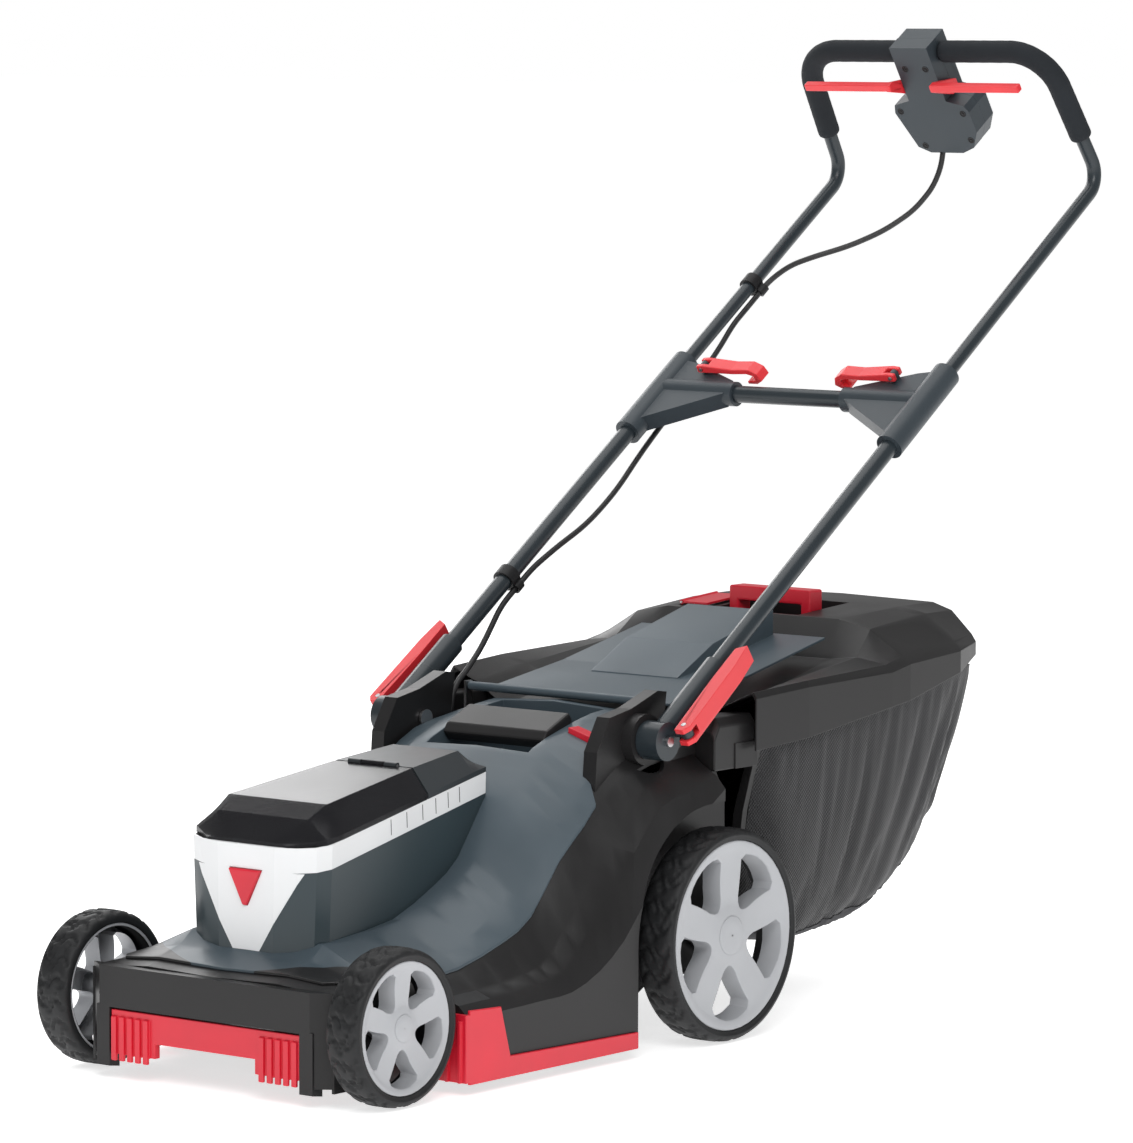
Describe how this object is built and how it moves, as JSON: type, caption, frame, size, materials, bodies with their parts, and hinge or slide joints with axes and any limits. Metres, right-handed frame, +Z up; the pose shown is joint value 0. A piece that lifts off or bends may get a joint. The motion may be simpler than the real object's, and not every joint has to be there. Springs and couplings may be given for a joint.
{
  "type": "push lawn mower",
  "caption": "Battery push lawn mower: four wheels, battery hood, folding telescopic handle with bail switch, and a rear grass bag with a hinged flap.",
  "frame": {"origin": "on the ground under the middle of the mower's bounding box", "axes": "+Z up, -Y the way it drives, +X the operator's left"},
  "size_m": [0.437, 1.256, 0.987],
  "materials": {
    "black_plastic": "satin moulded polypropylene",
    "slate_plastic": "satin slate blue-grey plastic",
    "dark_panel": "semi-gloss dark panel",
    "hood_grey": "gloss dark cover",
    "white_plastic": "gloss white",
    "smoky_lid": "smoky clear plastic",
    "red_plastic": "satin red",
    "tube_paint": "slate powder coat",
    "foam": "closed-cell foam grip",
    "steel": "plain steel",
    "rim_silver": "silver-grey moulded rim",
    "tyre": "ribbed rubber tread",
    "bag_cloth": "black coated woven cloth",
    "cable": "black cable sheath"
  },
  "bodies": {
    "chassis": {"deck_housing": "black_plastic", "grass_combs": "red_plastic", "top_cover": "slate_plastic", "carry_handle": "black_plastic", "battery_housing": "dark_panel", "battery_trim": "white_plastic", "hood_rear_cover": "hood_grey", "battery_pack": "black_plastic", "safety_key": "red_plastic", "controller": "black_plastic", "blade_chamber": "black_plastic", "discharge_chute": "black_plastic", "motor_body": "black_plastic", "handle_mounts": "black_plastic", "pivot_bolts": "steel", "hinge_pins": "steel", "bag_fabric": "bag_cloth", "bag_lid": "black_plastic", "bag_frame": "black_plastic", "bag_handle": "red_plastic", "cable_lower": "cable"},
    "height_button": {"height_button": "red_plastic"},
    "hood_latch": {"hood_latch_button": "red_plastic"},
    "hood_lid": {"hood_lid": "smoky_lid"},
    "rear_flap": {"rear_flap": "slate_plastic"},
    "level_flap": {"level_flap": "red_plastic"},
    "rotor": {"motor_shaft": "steel", "blade_carrier": "red_plastic", "cutting_blade": "steel", "blade_bolt": "steel"},
    "front_axle": {"front_crank_axle": "steel"},
    "rear_axle": {"rear_crank_axle": "steel"},
    "height_rod": {"height_rod": "steel"},
    "lower_handle": {"lower_tubes": "tube_paint", "tube_feet": "slate_plastic", "handle_brackets": "slate_plastic", "crossbar": "tube_paint", "lever_pins": "steel", "cable_clip_lower": "black_plastic", "cable_middle": "cable"},
    "upper_handle": {"upper_tube": "tube_paint", "foam_grips": "foam", "switch_box_front": "slate_plastic", "switch_box_back": "slate_plastic", "cable_clip_upper": "black_plastic", "cable_upper": "cable"},
    "bail": {"bail_lever": "red_plastic"},
    "start_button": {"start_button": "red_plastic"},
    "lower_lever_left": {"lower_lever_left": "red_plastic"},
    "lower_lever_right": {"lower_lever_right": "red_plastic"},
    "upper_lever_left": {"upper_lever_left": "red_plastic"},
    "upper_lever_right": {"upper_lever_right": "red_plastic"},
    "wheel_front_left": {"tyre_front_left": "tyre", "rim_front_left": "rim_silver"},
    "wheel_front_right": {"tyre_front_right": "tyre", "rim_front_right": "rim_silver"},
    "wheel_rear_left": {"tyre_rear_left": "tyre", "rim_rear_left": "rim_silver"},
    "wheel_rear_right": {"tyre_rear_right": "tyre", "rim_rear_right": "rim_silver"}
  },
  "joints": [
    {"name": "front_height", "type": "hinge", "parent": "chassis", "child": "front_axle", "pos_m": [0, -0.51654, 0.049], "axis": [1, 0, 0], "range_deg": [0, 67.5]},
    {"name": "rear_height", "type": "hinge", "parent": "chassis", "child": "rear_axle", "pos_m": [0, -0.04204, 0.08], "axis": [1, 0, 0], "range_deg": [0, 67.5]},
    {"name": "height_rod_pivot", "type": "hinge", "parent": "front_axle", "child": "height_rod", "pos_m": [0.128, -0.49099, 0.08725], "axis": [1, 0, 0], "range_deg": [-67.5, 0]},
    {"name": "front_left_wheel_spin", "type": "hinge", "parent": "front_axle", "child": "wheel_front_left", "pos_m": [0.1615, -0.55396, 0.074], "axis": [1, 0, 0], "continuous": true},
    {"name": "front_right_wheel_spin", "type": "hinge", "parent": "front_axle", "child": "wheel_front_right", "pos_m": [-0.1615, -0.55396, 0.074], "axis": [1, 0, 0], "continuous": true},
    {"name": "rear_left_wheel_spin", "type": "hinge", "parent": "rear_axle", "child": "wheel_rear_left", "pos_m": [0.1765, -0.07946, 0.105], "axis": [1, 0, 0], "continuous": true},
    {"name": "rear_right_wheel_spin", "type": "hinge", "parent": "rear_axle", "child": "wheel_rear_right", "pos_m": [-0.1765, -0.07946, 0.105], "axis": [1, 0, 0], "continuous": true},
    {"name": "blade_spin", "type": "hinge", "parent": "chassis", "child": "rotor", "pos_m": [0, -0.33196, 0.06], "axis": [0, 0, 1], "continuous": true},
    {"name": "hood_lid_hinge", "type": "hinge", "parent": "chassis", "child": "hood_lid", "pos_m": [0, -0.36646, 0.28446], "axis": [-1, 0, 0], "range_deg": [0, 75]},
    {"name": "hood_latch_press", "type": "slide", "parent": "chassis", "child": "hood_latch", "axis": [0, 1, 0], "range_m": [0, 0.004], "stiffness_N_per_m": 300, "springref_m": -0.001},
    {"name": "height_button_press", "type": "slide", "parent": "chassis", "child": "height_button", "axis": [0, 0, -1], "range_m": [0, 0.004], "stiffness_N_per_m": 400, "springref_m": -0.002},
    {"name": "rear_flap_hinge", "type": "hinge", "parent": "chassis", "child": "rear_flap", "pos_m": [0, -0.07646, 0.326], "axis": [1, 0, 0], "range_deg": [0, 75]},
    {"name": "level_flap_hinge", "type": "hinge", "parent": "chassis", "child": "level_flap", "pos_m": [-0.098, 0.24854, 0.3876], "axis": [0, -0.9975, -0.0712], "range_deg": [0, 35]},
    {"name": "handle_fold", "type": "hinge", "parent": "chassis", "child": "lower_handle", "pos_m": [0, -0.13896, 0.298], "axis": [1, 0, 0], "range_deg": [0, 137], "deforming": ["cable_lower"]},
    {"name": "handle_telescope", "type": "slide", "parent": "lower_handle", "child": "upper_handle", "axis": [0, -0.8239, -0.5667], "range_m": [0, 0.1], "deforming": ["cable_middle"]},
    {"name": "lower_lever_left_hinge", "type": "hinge", "parent": "lower_handle", "child": "lower_lever_left", "pos_m": [0.1935, -0.12578, 0.30707], "axis": [0, 0.5667, -0.8239], "range_deg": [0, 100]},
    {"name": "upper_lever_left_hinge", "type": "hinge", "parent": "lower_handle", "child": "upper_lever_left", "pos_m": [0.122, 0.31832, 0.63193], "axis": [0, 0.8239, 0.5667], "range_deg": [0, 100]},
    {"name": "lower_lever_right_hinge", "type": "hinge", "parent": "lower_handle", "child": "lower_lever_right", "pos_m": [-0.1935, -0.12578, 0.30707], "axis": [0, -0.5667, 0.8239], "range_deg": [0, 100]},
    {"name": "upper_lever_right_hinge", "type": "hinge", "parent": "lower_handle", "child": "upper_lever_right", "pos_m": [-0.122, 0.31832, 0.63193], "axis": [0, -0.8239, -0.5667], "range_deg": [0, 100]},
    {"name": "bail_squeeze", "type": "hinge", "parent": "upper_handle", "child": "bail", "pos_m": [0, 0.5565, 0.92604], "axis": [-1, 0, 0], "range_deg": [0, 24], "stiffness_Nm_per_rad": 0.3, "springref_deg": -11.46},
    {"name": "start_button_press", "type": "slide", "parent": "upper_handle", "child": "start_button", "axis": [0, -0.829, -0.5592], "range_m": [0, 0.004], "stiffness_N_per_m": 300, "springref_m": -0.001}
  ],
  "couplings": [
    {"joint": "rear_height", "follows": "front_height", "ratio": 1},
    {"joint": "height_rod_pivot", "follows": "front_height", "ratio": -1}
  ]
}
